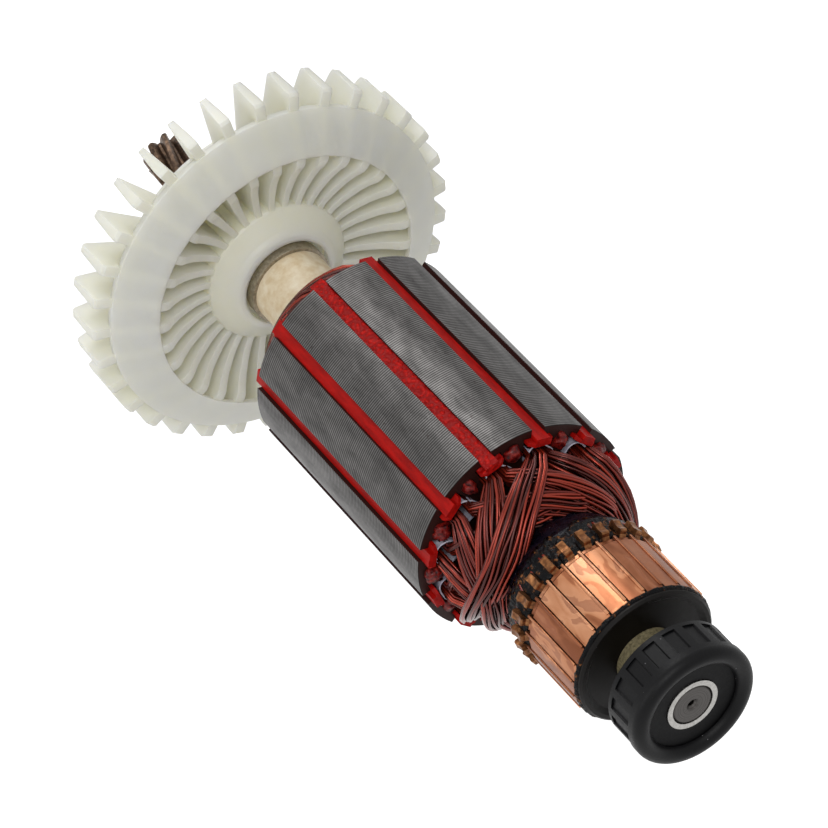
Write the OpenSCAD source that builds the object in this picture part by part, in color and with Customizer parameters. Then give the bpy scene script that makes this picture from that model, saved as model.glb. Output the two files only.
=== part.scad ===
// Motor armature of a hand-held power tool: a shaft with a helical pinion, a
// moulded cooling fan, a slotted lamination stack with its winding, a
// commutator, and the tail bearing in its rubber boot.
//
// +X runs along the shaft towards the bearing, +Z is up, and the origin is the
// centre of the rubber boot's round seat. Lengths along the shaft are measured
// as stations from the commutator side of the lamination stack, 0 there, and
// the module along_shaft() carries them into the part's own frame.

/* [Lamination stack] */
// Outer diameter of the stack
core_d = 42.4; // [38:0.2:48]
// Thickness of one lamination
lamination_t = 0.5; // [0.35:0.05:0.65]
// Number of laminations
laminations = 109; // [80:1:140]
// Number of slots
slots = 12; // [10:1:14]
// Width of a slot's mouth
mouth_w = 2.7; // [2:0.1:3]
// Radial thickness of the tooth tips beside a mouth
tip_t = 1.7; // [1.4:0.1:2.2]
// Widest width of a slot, just under the tooth tips
slot_w = 5.6; // [4.6:0.1:6]
// Radial depth from the tooth tips to the centre of the slot's round bottom
slot_depth = 6.3; // [5:0.1:6.6]
// Radius of the slot's round bottom
slot_round = 1.9; // [1.4:0.1:2]
// Turn of the first slot from +Y towards +Z, degrees
rotor_phase = 21.8; // [0:0.1:30]

/* [Slot parts] */
// Thickness of the slot liners
liner_t = 0.25; // [0.15:0.05:0.4]
// How far the wedges lie below the stack's surface
wedge_sink = 0.9; // [0.4:0.1:1.2]
// How far liners and wedges stand out of the stack at each end
slot_overhang = 1.9; // [1:0.1:2.4]
// Thickness of a wedge's wide foot
wedge_foot_t = 0.7; // [0.5:0.1:0.9]
// Width of a wedge's foot
wedge_foot_w = 5; // [4:0.1:5.2]
// Radius of the varnish beads on the tooth ends
bead_r = 1.5; // [1:0.1:1.8]
// Radial room left empty between a slot's wires and its wedge
slot_hollow = 1.7; // [1.2:0.1:2.4]

/* [Winding] */
// Number of slots that one coil spans
coil_span = 5; // [4:1:6]
// Full width of a coil's bundle of wires, halfway between its slots
bundle_w = 4.8; // [4:0.1:5.2]
// Thickness of a coil's bundle of wires
bundle_t = 2; // [1.6:0.1:2.2]
// Length of the winding head on the commutator side
front_head = 14; // [12:0.5:14.5]
// Length of the winding head on the fan side
back_head = 8.4; // [7.6:0.2:10]
// Coil that was wound last, counted from the first slot
last_coil = 3; // [1:1:6]

/* [Shaft] */
// Diameter through the stack
shaft_d = 11; // [10:0.1:12]
// Diameter of the drive end journal
journal_d = 12; // [11:0.1:12]
// Length of the drive end journal, behind the fan
journal_len = 18.9; // [14:0.1:26]
// Diameter under the fan's bush
bush_seat_d = 12.4; // [12.2:0.1:13.4]
// Diameter in the commutator
comm_seat_d = 10; // [9:0.1:10.8]
// Diameter in the tail bearing
tail_d = 8; // [8:0.1:8.5]
// Outer diameter of the insulating sleeve
sleeve_d = 15.1; // [14:0.1:15.4]

/* [Pinion] */
// Number of teeth
pinion_teeth = 8; // [6:1:9]
// Diameter over the teeth
pinion_d = 9.4; // [8.8:0.1:10]
// Depth of the teeth
tooth_h = 1.7; // [1.2:0.1:1.9]
// Length of the teeth
pinion_len = 11; // [8:0.5:16]
// Turn of the helix over one millimetre, degrees
helix_turn = 3.7; // [2:0.1:5]

/* [Fan] */
// Number of blades
blades = 33; // [28:1:36]
// Diameter over the blade tips
fan_d = 76.4; // [72:0.2:80]
// Outer diameter of the front ring
ring_d = 69.8; // [65:0.2:71]
// Diameter of the eye in the front ring
eye_d = 54; // [51:0.2:56]
// How far the ring falls back from its eye to its outer edge
ring_drop = 4.2; // [3:0.1:5]
// Wall of the ring and of the back disc
fan_wall = 1.2; // [0.8:0.1:1.4]
// Length of the fan from the hub's front to the blades' back
fan_len = 14.6; // [13.6:0.2:16]
// Blade thickness at the hub
blade_root_t = 1.2; // [1:0.1:1.5]
// Blade thickness at the front of the tips
blade_tip_t = 2.1; // [1.7:0.1:2.4]
// Blade thickness along its back edge
blade_back_t = 1.2; // [1:0.1:1.5]
// How far the blades' roots lie behind the ring's eye
blade_drop = 3.6; // [2.6:0.1:4.6]
// Diameter of the hub's round mouth
hub_mouth_d = 18; // [17.4:0.2:18.8]
// Depth of the hub's round mouth
mouth_depth = 1.6; // [1:0.1:3]
// Free shaft between the stack and the fan's front
fan_gap = 25; // [20:0.5:32]
// Turn of the first blade from +Y towards +Z, degrees
fan_phase = 5.8; // [0:0.1:11]

/* [Fan bush] */
// Outer diameter of the steel bush
bush_d = 16.4; // [15.8:0.2:17]
// Width across the bush's two flats
bush_flats = 14; // [13:0.2:14.8]
// How far the bush stands out of the fan's mouth
bush_proud = 1.2; // [0.6:0.1:2]
// Turn of the flats from +Y towards +Z, degrees
flats_phase = 31.7; // [0:0.1:90]
// Length of the fan's snug seat at the back of its hub
seat_depth = 3; // [2:0.5:6]

/* [Commutator] */
// Number of copper bars
bars = 24; // [20:1:26]
// Diameter over the bars
comm_d = 27.6; // [26:0.2:29]
// Length of the bars
bar_len = 14.6; // [12:0.2:18]
// Radial thickness of the bars
bar_t = 2.2; // [1.6:0.1:2.6]
// Groove between two bars
groove_w = 0.45; // [0.3:0.05:0.7]
// Depth of the grooves down to the moulding
groove_depth = 0.7; // [0.4:0.1:1.2]
// Station of the bars' ends that face the winding
bar_station = 22.7; // [22:0.1:26]
// Width of a hook
hook_w = 1.4; // [1.1:0.1:1.7]
// Reach of a hook from its bar towards the winding
hook_len = 3.5; // [2.8:0.1:3.8]
// Depth of a hook's root in its bar
hook_t = 0.7; // [0.5:0.05:0.8]
// Thickness of the moulding's front flange
flange_t = 1.2; // [0.8:0.1:2]
// Diameter of the glass-fibre sleeve behind the bearing
fibre_d = 11.2; // [10.4:0.2:12]

/* [Tail bearing] */
// Outer diameter of the bearing
bearing_d = 22; // [21.6:0.1:22.2]
// Width of the bearing
bearing_w = 7; // [6.6:0.1:7.6]
// Ball diameter
ball_d = 3.969; // [3.9:0.01:4]
// Diameter of the circle through the ball centres
ball_pitch_d = 15; // [14.9:0.05:15.1]
// Number of balls
balls = 7; // [6:1:8]
// Free shaft between the commutator and the bearing
tail_gap = 6.3; // [5:0.1:10]

/* [Rubber boot] */
// Boot: wall of its collar around the bearing
boot_wall = 1; // [0.9:0.1:1.5]
// How far the boot's round lip reaches past the bearing's front
boot_lip = 1.4; // [1:0.1:2]
// How far the boot reaches past the bearing's back
boot_skirt = 0.9; // [0.6:0.1:2]
// Boot: reach of its lip over the bearing's face
boot_hold = 2.4; // [1.8:0.1:2.7]
// Length of the boot's full round seat, behind its lip
seat_len = 1.1; // [0.9:0.1:1.4]
// Number of pockets around the boot
pockets = 18; // [12:1:20]
// Depth of the pockets
pocket_depth = 0.4; // [0.3:0.05:0.5]
// Turn of the first pocket from +Y towards +Z, degrees
boot_phase = 15; // [0:0.5:20]

/* [Hidden] */
$fn = 96;
// clearances
seat_fit = 0.02;
slot_fit = 0.05;
ball_fit = 0.03;
seal_fit = 0.08;
// the stack
core_r = core_d / 2;
core_len = lamination_t * laminations;
slot_out = core_r - tip_t;
slot_in = slot_out - slot_depth;
slot_step = 360 / slots;
sleeve_r = sleeve_d / 2;
fill_out = slot_out - slot_hollow;
// the winding heads: the first coils wound lie low and close to the sleeve,
// the last ones lie over them
coil_pairs = slots / 2;
bend_gap = 0.4;
first_crest = 2.1;
first_waist = 2.9;
last_waist = 7.4;
coil_bulge = 3;
leave_r = 2.1;
enter_r = 1.5;
leave_side = 0.5;
enter_side = 0.9;
// stations along the shaft, 0 at the stack's commutator side
fan_front = -core_len - fan_gap;
fan_back = fan_front - fan_len;
bush_front = fan_front + bush_proud;
journal_end = fan_back - seat_fit - journal_len;
neck_len = 2.5;
pinion_end = journal_end - neck_len - pinion_len;
hub_back = bar_station - hook_len - 0.4;
bar_end = bar_station + bar_len;
comm_end = bar_end + flange_t;
bearing_back = comm_end + tail_gap;
bearing_front = bearing_back + bearing_w;
boot_back = bearing_back - boot_skirt;
boot_front = bearing_front + boot_lip;
boot_d = bearing_d + 2 * boot_wall;
boot_mouth_d = bearing_d - 2 * boot_hold;
boot_lip_r = (boot_d - boot_mouth_d) / 4;
rib_drop = 0.25;
pocket_shoulder = 0.3;
pocket_back = 1.2;
seat_station = boot_front - boot_lip_r - seat_len / 2;
// the tail bearing
race_r = ball_d / 2 + ball_fit;
pitch_r = ball_pitch_d / 2;
inner_land_r = pitch_r - 1.55;
outer_land_r = pitch_r + 1.6;
ring_land = 1;
ring_rim = 1.3;
seal_land_r = tail_d / 2 + ring_land;
seal_seat_r = bearing_d / 2 - ring_rim;
seal_t = 0.5;
seal_inset = 0.25;
cage_half_t = 0.75;
// the commutator
comm_r = comm_d / 2;
bar_step = 360 / bars;
moulding_r = comm_r - groove_depth;
hook_rise = 1.1;
hook_in = comm_r - hook_t;
hook_high = hook_rise + hook_t;
hook_over = 0.5;
// the bars' backs: a low band in front of the hooks, then a bevel
band_drop = 0.4;
band_len = 0.6;
band_bevel = 0.5;
flange_lip = 1.5;
dish_w = 0.9;
dish_depth = 0.8;
// the varnish that seals the commutator's back
seal_reach = 9.2;
seal_rim = 0.6;
seal_slope = 3.9;
// the fan
fan_tip_r = fan_d / 2;
eye_r = eye_d / 2;
fan_ring_r = ring_d / 2;
hub_lip = 1.6;
ring_inset = 0.3;
tip_lift = 0.9;
tip_drop = 0.7;
tip_round = 0.5;
hub_round = 0.5;
back_inset = 0.12;

// Carries a shape drawn along +Z, with its first spoke along +X, to a station
// on the shaft and turns it about the shaft.
module along_shaft(station, turn = 0) {
    translate([station - seat_station, 0, 0]) rotate([turn, 0, 0]) rotate([0, 90, 0]) rotate([0, 0, 90])
        children();
}

// A ring or tube between two radii.
module tube(r_in, r_out, len) {
    linear_extrude(len) difference() {
        circle(r_out);
        circle(r_in);
    }
}

// ---- shaft ---------------------------------------------------------------

// Outline of the teeth: each one rises and falls on a rounded flank.
function tooth_r(a) = min(pinion_d / 2,
    pinion_d / 2 - tooth_h * (1 - pow(max(0, 0.5 + 0.62 * cos(a * pinion_teeth)), 0.7)));

module pinion() {
    teeth_steps = pinion_teeth * 10;
    linear_extrude(pinion_len + 0.5, twist = -helix_turn * (pinion_len + 0.5), slices = 10)
        polygon([for (i = [0 : teeth_steps - 1]) let (a = i * 360 / teeth_steps)
            tooth_r(a) * [cos(a), sin(a)]]);
}

module shaft_profile() {
    tail_end = bearing_front - pinion_end;
    chamfer = 0.4;
    neck_r = pinion_d / 2 - tooth_h + 0.6;
    a = pinion_len;
    b = journal_end - pinion_end;
    f = fan_back - pinion_end;
    c = bush_front - pinion_end;
    d = hub_back - pinion_end;
    e = comm_end - flange_t - pinion_end;
    polygon([
        [0, a], [neck_r, a], [neck_r, b], [journal_d / 2 - chamfer, b], [journal_d / 2, b + chamfer],
        [journal_d / 2, f], [bush_seat_d / 2, f], [bush_seat_d / 2, c], [shaft_d / 2, c], [shaft_d / 2, d], [comm_seat_d / 2, d], [comm_seat_d / 2, e],
        [tail_d / 2, e], [tail_d / 2, tail_end - chamfer], [tail_d / 2 - chamfer, tail_end], [0, tail_end],
    ]);
}

// The shaft is turned from one bar, with the pinion cut into its drive end and
// a centre hole in its tail end.
module shaft() {
    centre_r = 0.6;
    centre_depth = 2.2;
    color("#6b6865") along_shaft(pinion_end) difference() {
        union() {
            pinion();
            rotate_extrude() shaft_profile();
        }
        translate([0, 0, bearing_front - pinion_end - centre_depth]) cylinder(r = centre_r, h = centre_depth + 1);
        translate([0, 0, bearing_front - pinion_end - centre_r]) cylinder(r1 = centre_r, r2 = 3 * centre_r, h = 2 * centre_r);
    }
}

// ---- stack, liners, wedges, beads ----------------------------------------

// Section of a slot below the tooth tips, shrunk by gap on every side.
module slot_section(gap = 0) {
    polygon([
        [slot_out - gap, gap - slot_w / 2], [slot_out - gap, slot_w / 2 - gap],
        [slot_in, slot_round - gap], [slot_in, gap - slot_round],
    ]);
    translate([slot_in, 0]) circle(slot_round - gap, $fn = 40);
}

module core() {
    color("#77777a") along_shaft(-core_len, rotor_phase) linear_extrude(core_len) difference() {
        circle(core_r, $fn = 180);
        circle(sleeve_r);
        for (i = [0 : slots - 1]) rotate(i * slot_step) {
            slot_section();
            translate([slot_out - 1, -mouth_w / 2]) square([tip_t + 2, mouth_w]);
        }
    }
}

// A folded sheet of white insulation along the walls of one slot.
module slot_liner(i) {
    color("#c9c4d4") along_shaft(-core_len - slot_overhang, rotor_phase + i * slot_step)
        linear_extrude(core_len + 2 * slot_overhang) difference() {
            slot_section(slot_fit);
            slot_section(slot_fit + liner_t);
            translate([slot_out - wedge_foot_t - 2 * slot_fit, -slot_w]) square([slot_w, 2 * slot_w]);
        }
}

// A T-shaped strip that closes one slot: its foot slides in under the tooth
// tips and stands out at both ends as a small hammer head.
module slot_wedge(i) {
    foot = wedge_foot_w / 2;
    rib = mouth_w / 2 - slot_fit;
    out = slot_out - slot_fit;
    total = core_len + 2 * slot_overhang;
    corner = 0.9;
    color("#b3140f") along_shaft(-core_len - slot_overhang, rotor_phase + i * slot_step) intersection() {
        linear_extrude(total) polygon([
            [out - wedge_foot_t, -foot], [out - wedge_foot_t, foot], [out, foot], [out, rib],
            [core_r - wedge_sink, rib], [core_r - wedge_sink, -rib], [out, -rib], [out, -foot],
        ]);
        translate([core_r, 0, 0]) rotate([0, -90, 0]) linear_extrude(slot_w) polygon([
            [0, corner - foot], [corner, -foot], [total - corner, -foot], [total, corner - foot],
            [total, foot - corner], [total - corner, foot], [corner, foot], [0, foot - corner],
        ]);
    }
}

// A bead of varnish on the end of every tooth.
module varnish_beads(station, side) {
    bead_place = core_r - bead_r - 0.7;
    color("#7a2a22") along_shaft(station, rotor_phase + slot_step / 2) for (i = [0 : slots - 1])
        rotate(i * slot_step) translate([bead_place, 0, 0]) intersection() {
            sphere(bead_r, $fn = 32);
            translate([-bead_r, -bead_r, side > 0 ? 0 : -2 * bead_r]) cube(2 * bead_r);
        }
}

module varnish_beads_front() varnish_beads(0, 1);

module varnish_beads_back() varnish_beads(-core_len, -1);

// ---- winding -------------------------------------------------------------

// Place of a coil in the order of winding: 0 for the first pair of coils that
// were wound, 1 for the last.
function order(i) = ((last_coil - 2 - i + 2 * slots) % coil_pairs) / (coil_pairs - 1);

function mix(a, b, share) = a + (b - a) * share;

function swell(t) = sin(180 * max(0, min(1, t)));

function unit(v) = v / norm(v);

// Radius, angle and height over the stack of a coil's middle line at t, from
// the slot that it leaves, 0, to the one that it enters, 1.
function coil_radius(t, place) = let (
    ends = slot_in + mix(leave_r, enter_r, t) + bend_gap,
    waist = sleeve_r + mix(first_waist, last_waist, place)
) mix(ends, waist, pow(swell(t), 1.5)) + place * coil_bulge * pow(swell(t), 0.6) * (1 - swell(t));

function coil_angle(t) = mix(asin(leave_side / slot_in), coil_span * slot_step - asin(enter_side / slot_in), t);

function coil_height(t, place, head) = let (
    leave = slot_overhang + bend_gap,
    crest = mix(leave + first_crest, head - bundle_t, place)
) mix(leave, crest, pow(swell(t), 0.6));

function coil_point(t, place, head) = let (a = coil_angle(t), r = coil_radius(t, place))
    [r * cos(a), r * sin(a), coil_height(t, place, head)];

// Directions of a coil's section at t: across its flat side and away from it.
// It lies against the coils below, and turns on edge where it enters a slot.
function coil_frame(t, place, head) = let (
    ahead = coil_point(min(1, t + 0.01), place, head),
    behind = coil_point(max(0, t - 0.01), place, head),
    run = unit(ahead - behind),
    a = coil_angle(t),
    r = coil_radius(t, place) - sleeve_r * 0.66,
    away = unit([r * cos(a), r * sin(a), coil_height(t, place, head) + first_crest]),
    side = unit(cross(run, away)),
    up = cross(side, run),
    roll = 70 * pow(t, 5) - 25 * pow(1 - t, 5)
) [side * cos(roll) + up * sin(roll), up * cos(roll) - side * sin(roll)];

// One coil's turn over the end of the stack: an oval section swept along the
// middle line, with a straight foot in each of its two slots.
module coil_turn(place, head) {
    rings = 14;
    sides = 8;
    foot = slot_overhang + bend_gap;
    function ring(t, drop) = let (
        here = coil_point(t, place, head) - [0, 0, drop],
        frame = coil_frame(t, place, head),
        width = bundle_w / 2 * mix(0.52, 1, sqrt(swell(t))),
        depth = bundle_t / 2 * mix(0.85, 1, swell(t))
    ) [for (k = [0 : sides - 1]) let (a = k * 360 / sides)
        here + frame[0] * cos(a) * width + frame[1] * sin(a) * depth];
    sweep = concat(ring(0, foot), [for (i = [0 : rings], p = ring(i / rings, 0)) p], ring(1, foot));
    spans = rings + 2;
    polyhedron(sweep, concat(
        [[for (k = [sides - 1 : -1 : 0]) k]],
        [for (i = [0 : spans - 1], k = [0 : sides - 1]) let (n = (k + 1) % sides)
            [i * sides + k, i * sides + n, (i + 1) * sides + n, (i + 1) * sides + k]],
        [[for (k = [0 : sides - 1]) spans * sides + k]]
    ), convexity = 4);
}

module winding_head(head) {
    for (i = [0 : slots - 1]) rotate(i * slot_step) coil_turn(order(i), head);
}

// The coils: a filled slot section through the stack and a head at each end.
module winding() {
    fill_gap = slot_fit * 2 + liner_t;
    floor_w = 0.9;
    color("#7b2c1c") {
        along_shaft(0, rotor_phase) winding_head(front_head);
        along_shaft(-core_len, rotor_phase) mirror([0, 0, 1]) winding_head(back_head);
        along_shaft(-core_len - bend_gap, rotor_phase) linear_extrude(core_len + 2 * bend_gap)
            for (i = [0 : slots - 1]) rotate(i * slot_step) polygon([
                [fill_out, 2 * fill_gap - slot_w / 2], [fill_out, slot_w / 2 - 2 * fill_gap],
                [slot_in, slot_round - fill_gap], [slot_in - 1, floor_w], [slot_in - 1, -floor_w],
                [slot_in, fill_gap - slot_round],
            ]);
    }
}

// ---- sleeve, fan bush, fan -----------------------------------------------

module insulating_sleeve() {
    len = hub_back - bush_front;
    color("#e3d2b4") along_shaft(bush_front) tube(shaft_d / 2, sleeve_r, len);
}

// Round with two flats, as the bush's drive and the hole that takes it.
module double_d(r, flats) {
    intersection() {
        circle(r);
        square([flats, 3 * r], center = true);
    }
}

module fan_bush() {
    len = bush_front - fan_back;
    drive_len = fan_len - mouth_depth;
    color("#8d8c8a") along_shaft(fan_back, flats_phase) difference() {
        union() {
            linear_extrude(drive_len) double_d(bush_d / 2, bush_flats);
            translate([0, 0, drive_len]) cylinder(d = bush_d, h = len - drive_len);
        }
        translate([0, 0, -1]) cylinder(d = bush_seat_d, h = len + 2);
    }
}

// Front edge of a blade inside the eye: place along the eye's radius, and fall
// behind the ring as a share of the whole fall at the blade's root.
blade_front = [
    [0.99, 0.05], [0.96, 0.02], [0.925, 0.08], [0.87, 0.34], [0.8, 0.59], [0.73, 0.76], [0.655, 0.92], [0.585, 1],
    [0.54, 1],
];

// A blade seen from the side, radius along X: open inside the eye, closed by
// the ring outside it, with a tip that stands past the ring.
module blade_side() {
    ring_z = fan_len - ring_inset;
    edge_z = ring_z - ring_drop;
    front = edge_z - tip_drop;
    inner = hub_mouth_d / 2 + hub_lip;
    polygon(concat(
        [[inner, back_inset], [eye_r, back_inset], [fan_tip_r - 2 * tip_round, tip_lift - tip_round / 2], [fan_tip_r - tip_round / 2, tip_lift],
         [fan_tip_r, tip_lift + tip_round], [fan_tip_r, front - tip_round], [fan_tip_r - tip_round, front],
         [fan_ring_r, edge_z - fan_wall / 4], [eye_r + fan_wall / 2, ring_z - fan_wall / 2]],
        [for (p = blade_front) [p[0] * eye_r, ring_z - p[1] * blade_drop]],
        [[inner, ring_z - blade_drop]]
    ));
}

// A straight blade on its spoke: thicker outwards, and thinner towards its
// back edge so that it leaves the mould.
module blade() {
    root = eye_r * 0.54;
    module halves(points) polygon(concat(points, [for (i = [len(points) - 1 : -1 : 0]) [points[i][0], -points[i][1]]]));
    intersection() {
        translate([0, blade_tip_t, 0]) rotate([90, 0, 0]) linear_extrude(2 * blade_tip_t) blade_side();
        linear_extrude(fan_len) halves([
            [hub_mouth_d / 2, blade_root_t / 2], [root, blade_root_t / 2], [eye_r, blade_tip_t * 0.45], [fan_tip_r + 1, blade_tip_t / 2],
        ]);
        rotate([0, 90, 0]) linear_extrude(fan_tip_r + 1) halves([
            [-fan_len, blade_tip_t * 0.7], [0, blade_back_t / 2],
        ]);
    }
}

// The fan is one moulding: hub and back disc, blades, and the front ring,
// which lies outside the disc so that the mould can part. The ring is a cone.
module fan() {
    disc_r = eye_r - 0.2;
    ring_z = fan_len - ring_inset;
    root = eye_r * 0.54;
    root_z = ring_z - blade_drop;
    lip = hub_mouth_d / 2 + hub_lip;
    color("#dcdccc") along_shaft(fan_back, fan_phase) difference() {
        union() {
            rotate_extrude() polygon([
                [0, 0], [disc_r, 0], [disc_r, fan_wall], [root * 1.2, fan_wall], [root * 1.1, fan_wall * 1.4],
                [root * 1.05, fan_wall * 2.4], [root, root_z - 0.4 * hub_round], [root - 0.6 * hub_round, root_z + 0.4 * hub_round],
                [lip + 1.2 * hub_round, ring_z - 2 * hub_round], [lip, ring_z - 0.8 * hub_round],
                [lip - hub_round, ring_z], [lip - hub_lip * 0.7, fan_len], [0, fan_len],
            ]);
            rotate_extrude() polygon([
                [eye_r, ring_z], [fan_ring_r, ring_z - ring_drop], [fan_ring_r, ring_z - ring_drop - fan_wall],
                [eye_r, ring_z - fan_wall],
            ]);
            for (i = [0 : blades - 1]) rotate(i * 360 / blades) blade();
        }
        translate([0, 0, fan_len - mouth_depth]) cylinder(d = hub_mouth_d, h = mouth_depth + 1);
        rotate(flats_phase - fan_phase) {
            translate([0, 0, -1]) linear_extrude(fan_len)
                double_d(bush_d / 2 + seat_fit, bush_flats + 2 * seat_fit);
            translate([0, 0, seat_depth]) linear_extrude(fan_len - seat_depth)
                double_d(hub_mouth_d / 2 - 0.05, bush_flats + 2 * seat_fit);
        }
    }
}

// ---- commutator ----------------------------------------------------------

// Ring sector around +X, span degrees wide.
module sector(r_in, r_out, span) {
    intersection() {
        difference() {
            circle(r_out, $fn = 180);
            circle(r_in, $fn = 180);
        }
        polygon([[0, 0], 2 * r_out * [cos(span / 2), -sin(span / 2)], 2 * r_out * [cos(span / 2), sin(span / 2)]]);
    }
}

function bar_angle() = bar_step - 2 * asin(groove_w / 2 / comm_r);

// A hook seen from the side, radius along X and length along Y: the copper is
// folded over the wire and pressed into one block with a hollow back.
module hook_section() {
    function at(high, along) = [hook_in + high * hook_high, along * hook_len];
    polygon([
        at(0, 0.08), at(0.25, 0), at(0.8, 0), at(0.97, 0.07), at(1, 0.16), at(0.9, 0.3), at(0.84, 0.45), at(0.84, 0.6),
        at(0.92, 0.76), at(0.9, 0.84), at(0.8, 0.88), at(0.45, 0.9), [comm_r - band_drop, hook_len],
        [comm_r - band_drop, hook_len + hook_over], [hook_in, hook_len + hook_over],
    ]);
}

// Outline of the bars' ring, radius along X, with a band and a bevel behind.
module bar_profile() {
    bar_in = comm_r - bar_t;
    front_bevel = band_bevel / 2;
    polygon([
        [bar_in - 1, 0], [comm_r - band_drop, 0], [comm_r - band_drop, band_len], [comm_r, band_len + band_bevel],
        [comm_r, bar_len - front_bevel], [comm_r - front_bevel, bar_len], [bar_in - 1, bar_len],
    ]);
}

module commutator_bars() {
    color("#c98a60") along_shaft(bar_station, rotor_phase) for (i = [0 : bars - 1]) rotate(i * bar_step) union() {
        intersection() {
            linear_extrude(bar_len) sector(comm_r - bar_t, comm_r, bar_angle());
            rotate_extrude() bar_profile();
        }
        translate([0, hook_w / 2, -hook_len]) rotate([90, 0, 0]) linear_extrude(hook_w) hook_section();
    }
}

// The phenolic body that holds the bars: a back shoulder under the hooks,
// ribs between the bars, and a dished front flange.
module commutator_moulding() {
    back = hub_back;
    shoulder = comm_r - hook_t - seat_fit;
    front = comm_end - back;
    bar_in = comm_r - bar_t;
    fibre_seat = fibre_d / 2 + seat_fit;
    color("#262322") along_shaft(back, rotor_phase) difference() {
        rotate_extrude() polygon([
            [comm_seat_d / 2, 0], [shoulder - 0.5, 0], [shoulder, 0.5], [shoulder, bar_station - back],
            [moulding_r, bar_station - back], [moulding_r, bar_end - back], [comm_r - 0.4, bar_end - back],
            [comm_r - 0.4, front - 0.4], [comm_r - 0.8, front], [comm_r - flange_lip, front],
            [comm_r - flange_lip - dish_w, front - dish_depth], [fibre_seat, front - dish_depth],
            [fibre_seat, front - flange_t - 0.01], [comm_seat_d / 2, front - flange_t - 0.01],
        ]);
        translate([0, 0, bar_station - back]) linear_extrude(bar_len) for (i = [0 : bars - 1])
            rotate(i * bar_step) sector(bar_in, comm_r + 1, bar_angle());
    }
}

// Varnish that seals the back of the commutator and the wires' ends.
module varnish_seal() {
    len = hub_back - seal_reach;
    color("#1d1c2c") along_shaft(seal_reach) rotate_extrude() polygon([
        [sleeve_r, 0], [comm_r - seal_slope, 0], [comm_r - 2 * seal_rim, len * 0.6], [comm_r - seal_rim, len * 0.75],
        [comm_r - seal_rim, len], [sleeve_r, len],
    ]);
}

module fibre_sleeve() {
    color("#a89a66") along_shaft(bar_end) tube(tail_d / 2, fibre_d / 2, bearing_back - bar_end);
}

// ---- tail bearing and boot -----------------------------------------------

module race_groove() {
    translate([pitch_r, bearing_w / 2]) circle(race_r, $fn = 48);
}

module bearing_inner_ring() {
    land = seal_inset + seal_t + 0.2;
    color("#b9b9b7") along_shaft(bearing_back) rotate_extrude() difference() {
        polygon([
            [tail_d / 2, 0], [seal_land_r, 0], [seal_land_r, land], [inner_land_r, land],
            [inner_land_r, bearing_w - land], [seal_land_r, bearing_w - land], [seal_land_r, bearing_w],
            [tail_d / 2, bearing_w],
        ]);
        race_groove();
    }
}

module bearing_outer_ring() {
    land = seal_inset + seal_t;
    out = bearing_d / 2;
    color("#a5a5a4") along_shaft(bearing_back) rotate_extrude() difference() {
        polygon([
            [seal_seat_r, 0], [out - 0.3, 0], [out, 0.3], [out, bearing_w - 0.3], [out - 0.3, bearing_w],
            [seal_seat_r, bearing_w], [seal_seat_r, bearing_w - land], [outer_land_r, bearing_w - land],
            [outer_land_r, land], [seal_seat_r, land],
        ]);
        race_groove();
    }
}

module bearing_balls() {
    color("#d0d0d0") along_shaft(bearing_back + bearing_w / 2) for (i = [0 : balls - 1])
        rotate(i * 360 / balls) translate([pitch_r, 0, 0]) sphere(d = ball_d, $fn = 48);
}

module bearing_cage() {
    half_w = ball_d / 2 + 0.35;
    color("#b08d57") along_shaft(bearing_back + bearing_w / 2 - half_w) difference() {
        tube(pitch_r - cage_half_t, pitch_r + cage_half_t, 2 * half_w);
        for (i = [0 : balls - 1]) rotate(i * 360 / balls) translate([pitch_r - 2 * cage_half_t, 0, half_w])
            rotate([0, 90, 0]) cylinder(r = ball_d / 2 + 2 * ball_fit, h = 4 * cage_half_t);
    }
}

module bearing_seal(offset_z) {
    color("#1b1b1c") along_shaft(bearing_back + offset_z) tube(seal_land_r + seal_fit, seal_seat_r, seal_t);
}

module bearing_seal_front() bearing_seal(bearing_w - seal_inset - seal_t);

module bearing_seal_back() bearing_seal(seal_inset);

// The rubber boot: a round lip in front, a short round seat behind it, and a
// skirt with pockets between its ribs.
module rubber_boot() {
    back = boot_back;
    out = boot_d / 2;
    rib_r = out - rib_drop;
    len = boot_front - back;
    mouth = boot_mouth_d / 2;
    seat_end = len - boot_lip_r;
    seat_start = seat_end - seat_len;
    floor_r = rib_r - pocket_depth;
    floor_w = floor_r * tan(0.27 * 360 / pockets);
    lip = bearing_front - back;
    color("#202022") along_shaft(back, boot_phase) difference() {
        rotate_extrude() difference() {
            union() {
                translate([mouth, 0.4]) square([rib_r - mouth, seat_start]);
                translate([mouth, 0]) square([rib_r - mouth - 0.4, seat_start]);
                translate([mouth, seat_start]) square([out - mouth, seat_len]);
                translate([out - boot_lip_r, seat_end]) circle(boot_lip_r, $fn = 64);
            }
            translate([0, -1]) square([bearing_d / 2, lip + 1]);
        }
        for (i = [0 : pockets - 1]) rotate(i * 360 / pockets) translate([0, 0, pocket_back])
            linear_extrude(seat_start - pocket_back - pocket_shoulder) polygon([
                [floor_r, -floor_w], [floor_r, floor_w], [rib_r, floor_w + pocket_depth * 0.6],
                [out + 1, floor_w + 1], [out + 1, -floor_w - 1], [rib_r, -floor_w - pocket_depth * 0.6],
            ]);
    }
}

shaft();
insulating_sleeve();
core();
winding();
varnish_beads_front();
varnish_beads_back();
varnish_seal();
fan_bush();
fan();
commutator_moulding();
commutator_bars();
fibre_sleeve();
bearing_inner_ring();
bearing_outer_ring();
bearing_cage();
bearing_balls();
bearing_seal_front();
bearing_seal_back();
rubber_boot();
for (i = [1 : slots]) slot_liner(i - 1);
for (i = [1 : slots]) slot_wedge(i - 1);
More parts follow.
